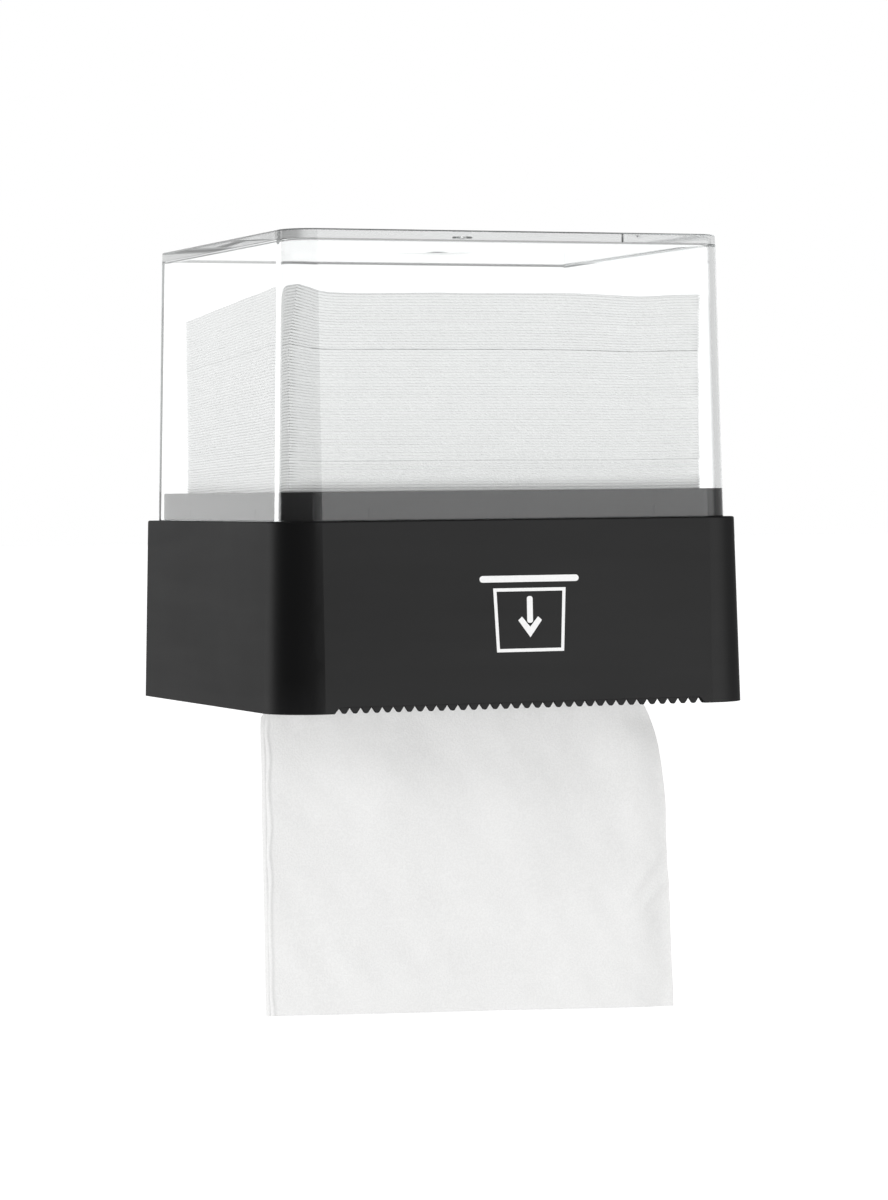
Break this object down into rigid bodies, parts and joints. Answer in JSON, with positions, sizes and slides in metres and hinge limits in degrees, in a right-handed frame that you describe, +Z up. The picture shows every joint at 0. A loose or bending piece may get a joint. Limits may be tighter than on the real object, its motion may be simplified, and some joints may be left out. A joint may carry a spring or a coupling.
{
  "type": "napkin dispenser",
  "caption": "Wall-mounted dispenser for folded paper napkins: black base with a bottom slot and toothed tear bar, clear lift-off box cover, stack of napkins and one hanging napkin.",
  "frame": {"origin": "middle of the housing's width, on the wall plane (the housing's flat back), level with the housing's lower edge", "axes": "+Y into the wall, so the front faces -Y; +Z up; +X to the viewer's right from the front"},
  "size_m": [0.25, 0.218, 0.3894],
  "materials": {
    "black_plastic": "satin",
    "clear_plastic": "polished",
    "napkin_paper": "matte",
    "zinc_screw": "satin"
  },
  "bodies": {
    "base": {"base_housing": "black_plastic", "napkin_tray": "black_plastic", "tray_screws": "zinc_screw", "tear_bar": "black_plastic", "tear_bar_screws": "zinc_screw", "napkin_bundle_1": "napkin_paper", "napkin_bundle_2": "napkin_paper", "napkin_bundle_3": "napkin_paper", "napkin_bundle_4": "napkin_paper"},
    "cover": {"clear_cover": "clear_plastic"},
    "napkin": {"hanging_napkin": "napkin_paper"}
  },
  "joints": [
    {"name": "cover_lift", "type": "slide", "parent": "base", "child": "cover", "axis": [0, 0, 1], "range_m": [0, 0.15]},
    {"name": "napkin_pull", "type": "slide", "parent": "base", "child": "napkin", "axis": [0, 0, -1], "range_m": [0, 0.03]}
  ]
}
